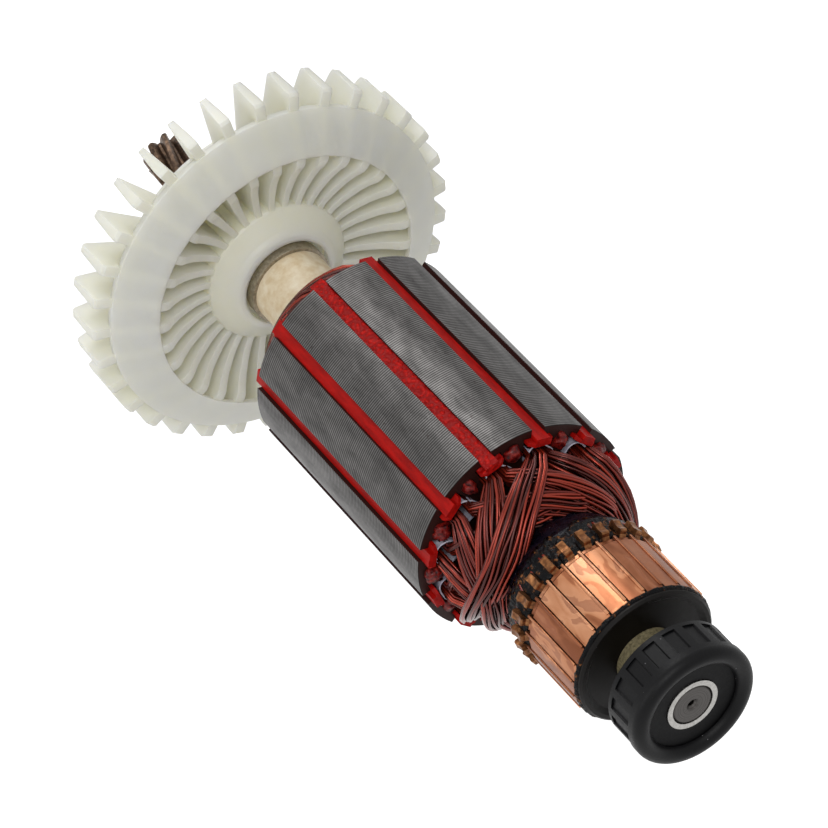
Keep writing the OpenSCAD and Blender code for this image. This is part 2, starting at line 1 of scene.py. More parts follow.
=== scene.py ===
# %% [markdown]
# # A motor armature
#
# The rotor of a hand-held power tool: a steel shaft that carries a stack of
# thin steel sheets with copper coils in its slots, a commutator, a nylon fan
# and a ball bearing in a rubber boot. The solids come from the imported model.
# This script gives each of them its real finish, and adds what is too fine
# for the solids: the single wires, the runs and crumbs of varnish, the burrs
# between the copper bars, and the studio around the part.
#
# Sizes are written in millimetres below, and MM turns them into metres.

import math
import random

import bmesh
import bpy
from mathutils import Matrix, Vector, noise


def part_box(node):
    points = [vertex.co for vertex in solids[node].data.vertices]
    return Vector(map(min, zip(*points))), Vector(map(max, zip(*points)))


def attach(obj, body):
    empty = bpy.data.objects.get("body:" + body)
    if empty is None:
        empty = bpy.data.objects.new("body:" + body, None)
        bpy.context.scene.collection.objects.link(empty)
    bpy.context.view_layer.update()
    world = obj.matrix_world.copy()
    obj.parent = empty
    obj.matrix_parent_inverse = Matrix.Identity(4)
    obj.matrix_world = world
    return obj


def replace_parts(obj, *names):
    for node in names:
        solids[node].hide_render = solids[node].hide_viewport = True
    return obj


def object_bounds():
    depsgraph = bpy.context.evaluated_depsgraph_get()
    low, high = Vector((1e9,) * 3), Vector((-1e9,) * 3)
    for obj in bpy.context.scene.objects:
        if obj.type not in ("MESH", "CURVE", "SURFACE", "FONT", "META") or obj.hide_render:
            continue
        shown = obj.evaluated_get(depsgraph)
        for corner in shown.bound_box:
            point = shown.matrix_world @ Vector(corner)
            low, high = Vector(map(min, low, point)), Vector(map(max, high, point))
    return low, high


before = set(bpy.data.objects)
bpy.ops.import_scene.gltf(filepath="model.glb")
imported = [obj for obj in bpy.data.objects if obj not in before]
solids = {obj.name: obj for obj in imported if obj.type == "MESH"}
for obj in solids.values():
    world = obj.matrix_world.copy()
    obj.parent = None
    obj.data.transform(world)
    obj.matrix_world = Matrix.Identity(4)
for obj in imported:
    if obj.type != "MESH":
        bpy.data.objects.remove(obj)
cad_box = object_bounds()
MM = 0.001
STACK_BACK, STACK_FRONT = (corner.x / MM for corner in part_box("core"))
HOOKS_BACK, BARS_FRONT = (corner.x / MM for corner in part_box("commutator_bars"))
print("nodes", len(solids), "stack from", round(STACK_BACK, 2), "to", round(STACK_FRONT, 2), "mm")

# %% [markdown]
# ## Camera
#
# A long lens from about seven hundred millimetres away keeps the shaft's
# lines nearly parallel. The camera is given its place and the direction of
# its back, and `to_track_quat` turns the two into a rotation, which is easier
# to adjust than three angles.

# %% Camera
CAMERA_PLACE = Vector((387.7, -294.6, 476.6)) * MM
CAMERA_BACK = Vector((0.6458, -0.4014, 0.6495))

camera_data = bpy.data.cameras.new("camera")
camera_data.lens = 178.6
camera_data.sensor_width = 36.0
camera_data.clip_start = 0.05
camera_data.clip_end = 20.0
camera = bpy.data.objects.new("camera", camera_data)
camera_turn = CAMERA_BACK.to_track_quat("Z", "Y").to_matrix().to_4x4()
camera.matrix_world = Matrix.Translation(CAMERA_PLACE) @ camera_turn
bpy.context.scene.collection.objects.link(camera)
bpy.context.scene.camera = camera
print("camera", round(CAMERA_PLACE.length, 3), "m from the bearing")

# %% [markdown]
# ## Colours and nodes
#
# Colours are written as sRGB hex values, the way a colour picker shows them.
# Shaders work with linear light, so one function converts them along the
# sRGB curve. A second function adds a node together with its settings and
# links, and hands back its outputs, so that a material reads as a list of
# what feeds what. The types of all shader nodes start with the same word,
# which the function puts in front.
#
# Sockets go by name or by number. A Mix node keeps its colour inputs at 6 and
# 7 and its colour output at 2, after the ones for numbers and vectors.

# %% Colours and nodes
def colour(hex_value):
    digits = hex_value.lstrip("#")
    channels = [int(digits[i : i + 2], 16) / 255 for i in (0, 2, 4)]
    linear = [c / 12.92 if c <= 0.04045 else ((c + 0.055) / 1.055) ** 2.4 for c in channels]
    return (*linear, 1.0)


def add(material, kind, sockets=None, stops=None, **settings):
    node = material.node_tree.nodes.new("ShaderNode" + kind)
    for name, value in settings.items():
        setattr(node, name, value)
    for name, value in (sockets or {}).items():
        if isinstance(value, bpy.types.NodeSocket):
            material.node_tree.links.new(value, node.inputs[name])
        else:
            node.inputs[name].default_value = value
    if stops:
        marks = node.color_ramp.elements
        while len(marks) < len(stops):
            marks.new(1.0)
        for mark, (place, value) in zip(marks, stops):
            mark.position = place
            mark.color = colour(value) if isinstance(value, str) else (value, value, value, 1.0)
    return node.outputs


print("mid grey is", round(colour("#808080")[0], 3), "in linear light")

# %% [markdown]
# ## Where a finish starts
#
# Every pattern below is laid out on Object coordinates, which stay with the
# piece when it turns. They are in metres, so one multiplication turns them
# into millimetres, and a texture's Scale is then 1 divided by the size of the
# grain in millimetres. `wear` puts a finish on solids by name.

# %% Where a finish starts
def start_finish(name):
    material = bpy.data.materials.new(name)
    material.use_nodes = True
    material.node_tree.nodes.clear()
    metres = add(material, "TexCoord")["Object"]
    place = add(material, "VectorMath", {0: metres, "Scale": 1 / MM}, operation="SCALE")["Vector"]
    return material, place


def wear(material, *names):
    for name in names:
        solids[name].data.materials.clear()
        solids[name].data.materials.append(material)
    print(material.name, "on", len(names), "solids,", len(material.node_tree.nodes), "nodes")


print(len(solids), "solids wait for a finish")

# %% [markdown]
# ## Natural nylon: the fan
#
# The fan is injection moulded in uncoloured polyamide. It is milky: light
# enters a thin blade and comes out some millimetres away, so shadows between
# the blades stay pale. Subsurface scattering gives that glow, a little further
# in red than in blue. The Bevel node rounds the sharp edges of the solid in
# the shading only, as the mould does, and a low bump gives the skin its faint
# orange peel, over clouds of tone as wide as a finger.

# %% Natural nylon
CLOUD, PEEL, PEEL_DEPTH = 14, 1.3, 0.05
EDGE_ROUND = 0.25
GLOW_RANGE = (8.0, 7.4, 5.6)

nylon, place = start_finish("natural_nylon_moulded")
clouds = add(nylon, "TexNoise", {"Vector": place, "Scale": 1 / CLOUD, "Detail": 3.0})["Fac"]
tint = add(nylon, "ValToRGB", {"Fac": clouds}, [(0.3, "#ebe9d3"), (0.7, "#f2f0dd")])["Color"]
peel = add(nylon, "TexNoise", {"Vector": place, "Scale": 1 / PEEL, "Detail": 3.0})["Fac"]
rounded = add(nylon, "Bevel", {"Radius": EDGE_ROUND * MM}, samples=4)["Normal"]
bumped = add(
    nylon,
    "Bump",
    {"Height": peel, "Strength": 0.5, "Distance": PEEL_DEPTH * MM, "Normal": rounded},
)["Normal"]
shader = add(
    nylon,
    "BsdfPrincipled",
    {
        "Base Color": tint,
        "Roughness": 0.4,
        "IOR": 1.53,
        "Subsurface Weight": 0.85,
        "Subsurface Radius": GLOW_RANGE,
        "Subsurface Scale": MM,
        "Normal": bumped,
    },
)
add(nylon, "OutputMaterial", {"Surface": shader["BSDF"]})
wear(nylon, "fan")

# %% [markdown]
# ## Electrical steel: the sheets of the stack
#
# The stack is made of stamped sheets half a millimetre thick. The outside is
# ground, and the sheets' edges show as fine lines around it. PINGPONG turns
# the place along the shaft into one rise and fall for each sheet, and the
# sheet's number gives it a tone of its own.

# %% Electrical steel, sheets
SHEET_T = 0.5

steel, place = start_finish("electrical_steel_laminations")
along = add(steel, "SeparateXYZ", {"Vector": place})["X"]
from_back = {0: along, 1: 1 / SHEET_T, 2: -STACK_BACK / SHEET_T}
sheet = add(steel, "Math", from_back, operation="MULTIPLY_ADD")["Value"]
across = add(steel, "Math", {0: sheet, 1: 0.5}, operation="PINGPONG")["Value"]
edge_tones = [(0.04, "#1b1918"), (0.2, "#565453"), (0.42, "#767473")]
edges = add(steel, "ValToRGB", {"Fac": across}, edge_tones)["Color"]
number = add(steel, "Math", {0: sheet}, operation="FLOOR")["Value"]
own_tone = add(steel, "TexWhiteNoise", {"W": number}, noise_dimensions="1D")["Value"]
print("sheets in the stack:", round((STACK_FRONT - STACK_BACK) / SHEET_T))

# %% [markdown]
# ## Electrical steel: film, pits and varnish
#
# A dull film lies on the ground surface in streaks along the shaft, and dark
# varnish stays in its pits. Below that surface, on the walls of the slots and
# on the stack's ends, varnish has run over the steel and makes it dark brown
# and glossy. The distance from the shaft's axis tells the two apart.

# %% Electrical steel, film and varnish
GROUND_R, SHEET_RELIEF = 21.08, 0.06
STREAK_LENGTH, STREAK_WIDTH, PIT = 7, 2.5, 0.9

streak_scale = (1 / STREAK_LENGTH, 1 / STREAK_WIDTH, 1 / STREAK_WIDTH)
streaks = add(steel, "Mapping", {"Vector": place, "Scale": streak_scale})["Vector"]
film = add(steel, "TexNoise", {"Vector": streaks, "Scale": 1.0, "Detail": 5.0, "Roughness": 0.6})["Fac"]
dull = add(steel, "ValToRGB", {"Fac": film}, [(0.32, 0.55), (0.62, 1.0)])["Color"]
ground = add(steel, "Mix", {0: 1.0, 6: edges, 7: dull}, data_type="RGBA", blend_type="MULTIPLY")[2]
tone = add(steel, "Math", {0: own_tone, 1: 0.3}, operation="MULTIPLY")["Value"]
ground = add(steel, "Mix", {0: tone, 6: ground, 7: colour("#474544")}, data_type="RGBA")[2]
pits = add(steel, "TexNoise", {"Vector": place, "Scale": 1 / PIT, "Detail": 5.0, "Roughness": 0.6})["Fac"]
stain = add(steel, "ValToRGB", {"Fac": pits}, [(0.3, 0.6), (0.36, 0.0)])["Color"]
ground = add(steel, "Mix", {0: stain, 6: ground, 7: colour("#332a28")}, data_type="RGBA")[2]
spoke = add(steel, "VectorMath", {0: place, 1: (0, 1, 1)}, operation="MULTIPLY")["Vector"]
radius = add(steel, "VectorMath", {0: spoke}, operation="LENGTH")["Value"]
outside = add(steel, "Math", {0: radius, 1: GROUND_R}, operation="GREATER_THAN")["Value"]
base = add(steel, "Mix", {0: outside, 6: colour("#2a1310"), 7: ground}, data_type="RGBA")[2]
metal = add(steel, "Math", {0: outside, 1: 0.8}, operation="MULTIPLY")["Value"]
gloss = add(steel, "ValToRGB", {"Fac": film}, [(0.3, 0.52), (0.7, 0.4)])["Color"]
ridged = add(steel, "Bump", {"Height": edges, "Strength": 0.7, "Distance": SHEET_RELIEF * MM})["Normal"]
shader = add(
    steel,
    "BsdfPrincipled",
    {"Base Color": base, "Metallic": metal, "Roughness": gloss, "Specular IOR Level": 0.15, "Normal": ridged},
)
add(steel, "OutputMaterial", {"Surface": shader["BSDF"]})
wear(steel, "core")

# %% [markdown]
# ## Vulcanised fibre: the slot wedges
#
# A strip of red vulcanised fibre closes each slot. It is pressed paper, so it
# is matt, deep in colour, and has a slight grain along its length. One strip
# was caught by the varnish and has set in small blisters, which a Voronoi
# texture gives to the bump; the same texture paints each blister lighter on
# top and darker between, a painted highlight and painted shade.
# A row says if the strip is blistered, how deep its relief is in millimetres,
# and which colours its pattern takes.

# %% Vulcanised fibre
SLOTS, BLISTERED_STRIP = 12, 4
GRAIN_WIDTH, GRAIN_STRETCH, BLISTER = 0.8, 5, 0.7
STRIPS = (
    ("vulcanised_fibre_red", False, 0.08, [(0.3, "#8a0603"), (0.7, "#b00f08")]),
    ("vulcanised_fibre_blistered_varnish", True, 0.6, [(0.1, "#c4150d"), (0.5, "#8e0705")]),
)

for name, blistered, relief, tones in STRIPS:
    fibre, place = start_finish(name)
    if blistered:
        # On the blistered strip the colour follows the blisters: a painted highlight on their tops and
        # painted shade between them.
        blisters = add(fibre, "TexVoronoi", {"Vector": place, "Scale": 1 / BLISTER}, feature="SMOOTH_F1")
        pattern = blisters["Distance"]
    else:
        run = add(fibre, "Mapping", {"Vector": place, "Scale": (1 / GRAIN_STRETCH, 1.0, 1.0)})["Vector"]
        pattern = add(fibre, "TexNoise", {"Vector": run, "Scale": 1 / GRAIN_WIDTH, "Detail": 4.0})["Fac"]
    tint = add(fibre, "ValToRGB", {"Fac": pattern}, tones)["Color"]
    bumped = {"Height": pattern, "Strength": 0.8, "Distance": relief * MM}
    raised = add(fibre, "Bump", bumped, invert=blistered)["Normal"]
    shader = add(
        fibre,
        "BsdfPrincipled",
        {"Base Color": tint, "Roughness": 0.5, "Specular IOR Level": 0.14, "Normal": raised},
    )
    add(fibre, "OutputMaterial", {"Surface": shader["BSDF"]})
    strips = [i for i in range(1, SLOTS + 1) if (i == BLISTERED_STRIP) == blistered]
    wear(fibre, *[f"slot_wedge_{i}" for i in strips])

# %% [markdown]
# ## Turned copper: the commutator's bars
#
# Twenty-four copper bars, each insulated from the next. The brushes run on
# their turned outside, which is rosy and bright, with a stain of its own on
# each bar that stops sharply at the bar's edge. So each bar takes its own
# corner of the noise: the bar's number shifts the pattern by up to SHIFT
# millimetres, which is many stains away.

# %% Turned copper, bars
BARS, BAR_PHASE = 24, 21.8
BAR_STEP = 360 / BARS
SMEAR_LENGTH, SMEAR_WIDTH, SHIFT = 7, 3, 60.0

copper, place = start_finish("turned_copper")
parts = add(copper, "SeparateXYZ", {"Vector": place})
turn = add(copper, "Math", {0: parts["Z"], 1: parts["Y"]}, operation="ARCTAN2")["Value"]
in_bars = {0: turn, 1: math.degrees(1) / BAR_STEP, 2: -BAR_PHASE / BAR_STEP + 0.5 + BARS}
bar = add(copper, "Math", in_bars, operation="MULTIPLY_ADD")["Value"]
number = add(copper, "Math", {0: bar}, operation="FLOOR")["Value"]
own = add(copper, "TexWhiteNoise", {"W": number}, noise_dimensions="1D")
moved = add(copper, "VectorMath", {0: own["Color"], "Scale": SHIFT}, operation="SCALE")["Vector"]
own_place = add(copper, "VectorMath", {0: place, 1: moved}, operation="ADD")["Vector"]
smear_scale = (1 / SMEAR_LENGTH, 1 / SMEAR_WIDTH, 1 / SMEAR_WIDTH)
smears = add(copper, "Mapping", {"Vector": own_place, "Scale": smear_scale})["Vector"]
patch = add(copper, "TexNoise", {"Vector": smears, "Scale": 1.0, "Detail": 2.0, "Distortion": 0.6})["Fac"]
both = add(copper, "Math", {0: own["Value"], 1: 0.55, 2: patch}, operation="MULTIPLY_ADD")["Value"]
rosy = [(0.5, "#77442a"), (0.74, "#996041"), (0.76, "#ad7451"), (1.0, "#c48f6d")]
bright = add(copper, "ValToRGB", {"Fac": both}, rosy)["Color"]
stain = add(copper, "ValToRGB", {"Fac": patch}, [(0.60, 0.0), (0.615, 0.55)])["Color"]
bright = add(copper, "Mix", {0: stain, 6: bright, 7: colour("#7f4c37")}, data_type="RGBA")[2]
print("each bar takes", BAR_STEP, "degrees")

# %% [markdown]
# ## Turned copper: hooks and turning lines
#
# Behind the bars the copper was folded over into hooks and heated, which left
# it brown and patchy. The lathe left lines around the bars. They are finer on
# the real one, and are drawn a quarter of a millimetre apart so that they show.

# %% Turned copper, hooks and lines
HOOK_LENGTH, HEAT_PATCH = 3.5, 0.8
LINE_PITCH, LINE_LENGTH, LINE_DEPTH = 0.25, 6, 0.02
BAND_BACK = HOOKS_BACK + HOOK_LENGTH

heat = add(copper, "TexNoise", {"Vector": place, "Scale": 1 / HEAT_PATCH, "Detail": 3.0})["Fac"]
browns = [(0.35, "#573620"), (0.5, "#71482a"), (0.68, "#8c5f3a")]
brown = add(copper, "ValToRGB", {"Fac": heat}, browns)["Color"]
behind = add(copper, "Math", {0: parts["X"], 1: BAND_BACK}, operation="LESS_THAN")["Value"]
skin = add(copper, "Mix", {0: behind, 6: bright, 7: brown}, data_type="RGBA")[2]
gloss = add(copper, "ValToRGB", {"Fac": patch}, [(0.35, 0.34), (0.65, 0.43)])["Color"]
line_scale = (1 / LINE_PITCH, 1 / LINE_LENGTH, 1 / LINE_LENGTH)
turned = add(copper, "Mapping", {"Vector": place, "Scale": line_scale})["Vector"]
lines = add(copper, "TexNoise", {"Vector": turned, "Scale": 1.0, "Detail": 2.0})["Fac"]
bumped = add(copper, "Bump", {"Height": lines, "Strength": 0.25, "Distance": LINE_DEPTH * MM})["Normal"]
shader = add(
    copper,
    "BsdfPrincipled",
    {"Base Color": skin, "Metallic": 0.85, "Roughness": gloss, "Normal": bumped},
)
add(copper, "OutputMaterial", {"Surface": shader["BSDF"]})
wear(copper, "commutator_bars")

# %% [markdown]
# ## Steel shaft: black gear, ground tail
#
# One solid, two finishes: the gear end and journal are hardened and left
# brown-black from the oil bath, and the tail inside the bearing was turned and
# ground bright, with fine rings around its centre hole. The place along the
# shaft chooses between them.

# %% Steel shaft
TAIL_FROM = -14.0
OIL_GRAIN, RINGS_PER_MM, RING_DEPTH = 0.7, 9.0, 0.03

shaft_steel, place = start_finish("hardened_steel_oil_black_and_ground")
along = add(shaft_steel, "SeparateXYZ", {"Vector": place})["X"]
tail = add(shaft_steel, "Math", {0: along, 1: TAIL_FROM}, operation="GREATER_THAN")["Value"]
grain = add(shaft_steel, "TexNoise", {"Vector": place, "Scale": 1 / OIL_GRAIN, "Detail": 4.0})["Fac"]
black = add(shaft_steel, "ValToRGB", {"Fac": grain}, [(0.3, "#2b2019"), (0.7, "#6f5947")])["Color"]
spoke = add(shaft_steel, "VectorMath", {0: place, 1: (0, 1, 1)}, operation="MULTIPLY")["Vector"]
radius = add(shaft_steel, "VectorMath", {0: spoke}, operation="LENGTH")["Value"]
ringed = {"W": radius, "Scale": RINGS_PER_MM, "Detail": 1.0}
rings = add(shaft_steel, "TexNoise", ringed, noise_dimensions="1D")["Fac"]
bright = add(shaft_steel, "ValToRGB", {"Fac": rings}, [(0.35, "#34312f"), (0.65, "#565351")])["Color"]
skin = add(shaft_steel, "Mix", {0: tail, 6: black, 7: bright}, data_type="RGBA")[2]
bumped = add(shaft_steel, "Bump", {"Height": rings, "Strength": 0.3, "Distance": RING_DEPTH * MM})["Normal"]
shader = add(
    shaft_steel,
    "BsdfPrincipled",
    {"Base Color": skin, "Metallic": 0.85, "Roughness": 0.34, "Normal": bumped},
)
add(shaft_steel, "OutputMaterial", {"Surface": shader["BSDF"]})
wear(shaft_steel, "shaft")

# %% [markdown]
# ## The other solids, from a table
#
# The rest need the same few nodes with other numbers: two colours mixed by a
# grain, a roughness that follows it, and a low bump. A row gives the name of
# the material and how it was made, its two colours, the grain's size and depth
# in millimetres, the two roughnesses, the metal share, the shader's specular
# level, and the share of the dust's cells that hold a pale speck.
#
# - Slot liners are a polyester and aramid paper, folded, matt and lavender.
# - The dark varnish was dripped on hot and set in lumps with a wet shine.
# - Phenolic is a hot-pressed resin with a fine dull grain.
# - The long sleeve is a cream glass-filled tube, mottled by age.
# - The short sleeve is woven glass fibre, a rough olive grey.
# - The bush is turned steel, greyed by handling.
# - Ground bearing rings, pressed brass and polished balls differ mostly in
#   their roughness.
# - The bearing's seals are moulded rubber, matt and almost black.
# - The boot is moulded nitrile rubber, which gathers dust.

# %% The other solids
FINISHES = (
    ("slot_liner_paper_folded", "#a29fb4", "#dcdae6", 1.4, 0.03, (0.5, 0.5), 0.0, 0.4, 0.0),
    ("dark_varnish_dripped", "#050409", "#0f0c17", 1.1, 0.40, (0.2, 0.36), 0.0, 0.11, 0.09),
    ("phenolic_hot_pressed", "#080605", "#120f0d", 0.8, 0.03, (0.38, 0.52), 0.0, 0.13, 0.09),
    ("cream_sleeve_glass_filled", "#d3bc95", "#ebe0c9", 2.2, 0.03, (0.45, 0.6), 0.0, 0.4, 0.0),
    ("glass_fibre_sleeve_woven", "#585039", "#978c6b", 0.5, 0.12, (0.6, 0.8), 0.0, 0.3, 0.0),
    ("bush_steel_turned", "#81796a", "#b0a692", 0.6, 0.03, (0.4, 0.55), 0.75, 0.5, 0.0),
    ("bearing_ring_steel_ground", "#908e8a", "#b0aeab", 0.5, 0.005, (0.2, 0.3), 0.95, 0.5, 0.0),
    ("brass_pressed", "#a98b4f", "#c2a462", 0.5, 0.03, (0.25, 0.4), 0.95, 0.5, 0.0),
    ("ball_steel_polished", "#c8c8c8", "#d8d8d8", 0.5, 0.001, (0.08, 0.12), 1.0, 0.5, 0.0),
    ("seal_rubber_moulded", "#050506", "#0b0b0c", 0.4, 0.03, (0.5, 0.65), 0.0, 0.12, 0.09),
    ("nitrile_rubber_moulded", "#040405", "#0a0a0c", 0.35, 0.04, (0.38, 0.52), 0.0, 0.15, 0.15),
)
DUST_CELL, SPECK_REACH = 0.9, 0.1

made = {}
for name, dark, light, grain_size, relief, (smooth, rough), metal, specular, dusty in FINISHES:
    finish, place = start_finish(name)
    made[name] = finish
    grained = {"Vector": place, "Scale": 1 / grain_size, "Detail": 4.0, "Roughness": 0.6}
    grain = add(finish, "TexNoise", grained)["Fac"]
    tint = add(finish, "ValToRGB", {"Fac": grain}, [(0.3, dark), (0.7, light)])["Color"]
    if dusty:
        cells = add(finish, "TexVoronoi", {"Vector": place, "Scale": 1 / DUST_CELL})
        near = add(finish, "Math", {0: cells["Distance"], 1: SPECK_REACH}, operation="LESS_THAN")["Value"]
        lot = add(finish, "SeparateColor", {"Color": cells["Color"]})["Red"]
        drawn = add(finish, "Math", {0: lot, 1: dusty}, operation="LESS_THAN")["Value"]
        speck = add(finish, "Math", {0: near, 1: drawn}, operation="MULTIPLY")["Value"]
        tint = add(finish, "Mix", {0: speck, 6: tint, 7: colour("#6f6e70")}, data_type="RGBA")[2]
    gloss = add(finish, "ValToRGB", {"Fac": grain}, [(0.3, smooth), (0.7, rough)])["Color"]
    bumped = add(finish, "Bump", {"Height": grain, "Strength": 0.5, "Distance": relief * MM})["Normal"]
    shader = add(
        finish,
        "BsdfPrincipled",
        {
            "Base Color": tint,
            "Metallic": metal,
            "Roughness": gloss,
            "Specular IOR Level": specular,
            "Normal": bumped,
        },
    )
    add(finish, "OutputMaterial", {"Surface": shader["BSDF"]})
print("finishes from the table:", len(made))

# %% [markdown]
# ## Who wears what
#
# Each solid is named with its finish. The liners' paper is kept for the cuffs
# that replace their solids further down.

# %% Who wears what
wear(made["dark_varnish_dripped"], "varnish_seal")
wear(made["phenolic_hot_pressed"], "commutator_moulding")
wear(made["cream_sleeve_glass_filled"], "insulating_sleeve")
wear(made["glass_fibre_sleeve_woven"], "fibre_sleeve")
wear(made["bush_steel_turned"], "fan_bush")
wear(made["bearing_ring_steel_ground"], "bearing_inner_ring", "bearing_outer_ring")
wear(made["brass_pressed"], "bearing_cage")
wear(made["ball_steel_polished"], "bearing_balls")
wear(made["seal_rubber_moulded"], "bearing_seal_front", "bearing_seal_back")
wear(made["nitrile_rubber_moulded"], "rubber_boot")

# %% [markdown]
# ## The coils' sizes
#
# Each of the twelve coils is a bundle of enamelled copper wire. It leaves one
# slot, passes over the end of the stack and enters the fifth slot further
# on. The coils were wound two by two, from opposite slots, so the first ones
# lie close to the shaft, and the last ones lie over them. `order` tells when a
# coil was wound, from 0 for the first two to 1 for the last two. On the
# commutator's side the heads are pulled up in a cone towards the hooks, and on
# the fan's side they are flat. Single wires stand for the solid winding, with
# the same slots and span.
#
# Angles are in degrees and sizes in millimetres: the radii of the stack, of
# the slot's floor and of the wedge's inner side, how far a coil stands out
# and how deep it reaches into its slot, the width and thickness of a bundle,
# and the radii of the two layers in a slot. HEADS gives for each end of the
# stack its place, the direction outwards and the height of the last coil.

# %% The coils' sizes
SPAN, SLOT_STEP, SLOT_PHASE = 5, 360 / SLOTS, 21.8
CORE_R, SLOT_IN, WEDGE_IN = 21.2, 13.2, 18.7
OVERHANG, INTO_SLOT = 2.3, 3.0
BUNDLE_W, BUNDLE_T = 6.2, 2.1
OUTER_LAYER, INNER_LAYER = 17.1, 15.7
HEADS = {"front": (STACK_FRONT, 1.0, 12.8), "back": (STACK_BACK, -1.0, 6.9)}


def mix(first, second, share):
    return first + (second - first) * share


def swell(t):
    return math.sin(math.pi * max(0.0, min(1.0, t)))


def order(slot):
    return ((1 - slot + 2 * SLOTS) % (SLOTS // 2)) / (SLOTS // 2 - 1)


print("order of winding, 0 first:", [order(slot) for slot in range(SLOTS)])

# %% [markdown]
# ## The middle line of a coil
#
# `t` runs from 0 where the coil leaves its slot to 1 where it enters the
# other. Its angle grows evenly, its radius sinks to a waist near the shaft,
# and its height over the stack rises to a crest. Two coils share each slot,
# and the one wound later lies in the outer layer, so it passes over the other
# and bulges a little. A coil wound first has a narrower waist and a lower
# crest. A coil starts and ends a few degrees off the middle of its slots.

# %% The middle line of a coil
FIRST_WAIST, LAST_WAIST, BULGE = 9.8, 13.7, 0.8
STARTS_AFTER, ENDS_BEFORE = 4.5, 5.5
FIRST_CREST = 0.62


def coil_radius(t, late):
    leaves = OUTER_LAYER if late > 0 else INNER_LAYER
    enters = OUTER_LAYER if late == 1 else INNER_LAYER
    waist = mix(FIRST_WAIST, LAST_WAIST, late**1.3)
    bulge = BULGE * late * swell(t) ** 0.6 * (1 - swell(t))
    return mix(mix(leaves, enters, t), waist, swell(t)) + bulge


def coil_angle(t):
    return math.radians(mix(STARTS_AFTER, SPAN * SLOT_STEP - ENDS_BEFORE, t))


def coil_height(t, late, crest):
    return mix(OVERHANG, crest * mix(FIRST_CREST, 1, math.sqrt(late)), swell(t) ** 0.8)


def coil_point(t, late, crest):
    turn, radius = coil_angle(t), coil_radius(t, late)
    return Vector((radius * math.cos(turn), radius * math.sin(turn), coil_height(t, late, crest)))


print("crest of the last coil", round(coil_height(0.5, 1.0, HEADS["front"][2]), 1), "mm over the stack")

# %% [markdown]
# ## Across a coil
#
# `coil_frame` gives the two directions across the bundle, so that wires can be
# set around its middle line. The bundle lies flat on a round mound about the
# shaft, whose centre is a ring of radius MOUND_R, sunk by MOUND_DOWN into the
# stack, and it rolls over by some degrees where it is pushed into its slots.
# `onto_stack` turns a point of the first coil to another coil's slot, on the
# end of the stack that is asked for.

# %% Across a coil
NEARBY = 0.01
MOUND_R, MOUND_DOWN = 5.0, 2.1
ROLL_ENTERING, ROLL_LEAVING = 70, 25


def coil_frame(t, late, crest):
    ahead = coil_point(min(1, t + NEARBY), late, crest)
    run = (ahead - coil_point(max(0, t - NEARBY), late, crest)).normalized()
    turn, radius = coil_angle(t), coil_radius(t, late) - MOUND_R
    height = coil_height(t, late, crest) + MOUND_DOWN
    away = Vector((radius * math.cos(turn), radius * math.sin(turn), height)).normalized()
    side = run.cross(away).normalized()
    up = side.cross(run)
    roll = math.radians(ROLL_ENTERING * t**5 - ROLL_LEAVING * (1 - t) ** 5)
    return side * math.cos(roll) + up * math.sin(roll), up * math.cos(roll) - side * math.sin(roll)


def onto_stack(point, slot, station, direction):
    turn = math.radians(SLOT_PHASE + slot * SLOT_STEP)
    y = point.x * math.cos(turn) - point.y * math.sin(turn)
    z = point.x * math.sin(turn) + point.y * math.cos(turn)
    return Vector((station + direction * point.z, y, z)) * MM


print("the bundle rolls", ROLL_ENTERING, "degrees where it enters its slot")

# %% [markdown]
# ## Enamelled wire
#
# The wire is copper under a clear amber-red polyimide enamel: a metal base
# with a glossy coat. Random Per Island gives each wire a tone of its own.
# Ambient Occlusion finds the grooves between the wires and darkens them as
# painted shade, and a noise makes its edge uneven.

# %% Enamelled wire
SOAKED_PATCH, GROOVE_SHADE_REACH = 1.8, 0.9

enamel, place = start_finish("copper_wire_polyimide_enamelled")
each = add(enamel, "NewGeometry")["Random Per Island"]
reds = [(0.0, "#370a04"), (0.4, "#68190b"), (0.85, "#942d17")]
hue = add(enamel, "ValToRGB", {"Fac": each}, reds)["Color"]
soak = add(enamel, "TexNoise", {"Vector": place, "Scale": 1 / SOAKED_PATCH, "Detail": 3.0})["Fac"]
groove_openness = add(enamel, "AmbientOcclusion", {"Distance": GROOVE_SHADE_REACH * MM}, samples=4)["AO"]
depth = add(enamel, "Math", {0: soak, 1: 0.5, 2: groove_openness}, operation="MULTIPLY_ADD")["Value"]
# Painted shade: the less open the surface between the wires, the nearer the colour goes to near-black.
dark = add(enamel, "ValToRGB", {"Fac": depth}, [(0.62, 1.0), (1.0, 0.0)])["Color"]
tint = add(enamel, "Mix", {0: dark, 6: hue, 7: colour("#120302")}, data_type="RGBA")[2]
shader = add(
    enamel,
    "BsdfPrincipled",
    {"Base Color": tint, "Metallic": 0.6, "Roughness": 0.27, "Coat Weight": 0.15, "Coat Roughness": 0.08},
)
add(enamel, "OutputMaterial", {"Surface": shader["BSDF"]})
print(enamel.name, len(enamel.node_tree.nodes), "nodes")

# %% [markdown]
# ## The path of a wire
#
# Each bundle gets a ring of wires that drift and wave a little, every second
# one sunk where the bundle is squeezed into the slot, and some more inside, so
# that no gap shows through. INNER_REACH and SUNK_REACH say how far from the
# bundle's middle those lie, as a share of its size, and END_WIDTH and
# END_THICKNESS how much of its size is left at its ends. The first and last
# points go straight into the slots.

# %% The path of a wire
OUTER_WIRES, INNER_WIRES, STEPS = 24, 7, 24
END_WIDTH, END_THICKNESS = 0.52, 0.85
INNER_REACH, SUNK_REACH, RISE_BACK = 0.45, 0.66, 2.2
STRAY, WAVE, ONE_TURN = 0.3, 0.07, 6.28
WAVES_ON_A_WIRE = (1.5, 3.5)


